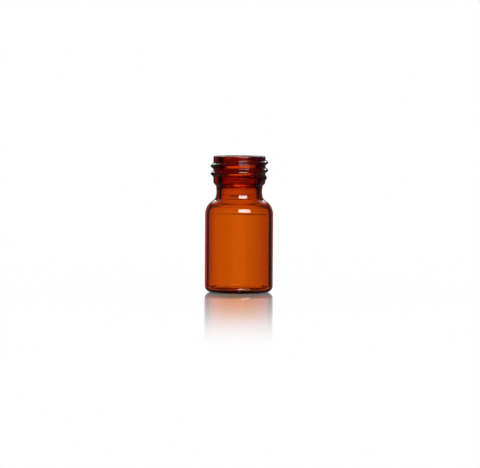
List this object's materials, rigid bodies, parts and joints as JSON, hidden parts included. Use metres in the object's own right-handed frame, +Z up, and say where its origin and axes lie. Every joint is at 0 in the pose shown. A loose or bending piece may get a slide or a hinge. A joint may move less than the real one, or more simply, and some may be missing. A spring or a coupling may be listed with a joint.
{
  "type": "glass sample vial",
  "caption": "Small cylindrical amber glass vial with a flat base, rounded shoulder and open screw-threaded neck, for holding liquid or powder samples away from light.",
  "frame": {"origin": "centre of the base, on the surface that the vial stands on", "axes": "+Z up along the vial's axis, out of its mouth"},
  "size_m": [0.028, 0.028, 0.056],
  "materials": {
    "amber_glass": "clear fire-polished amber glass, smooth inside and out, faintly uneven where the finish was rolled"
  },
  "bodies": {
    "root": {"vial": "amber_glass"}
  },
  "joints": []
}
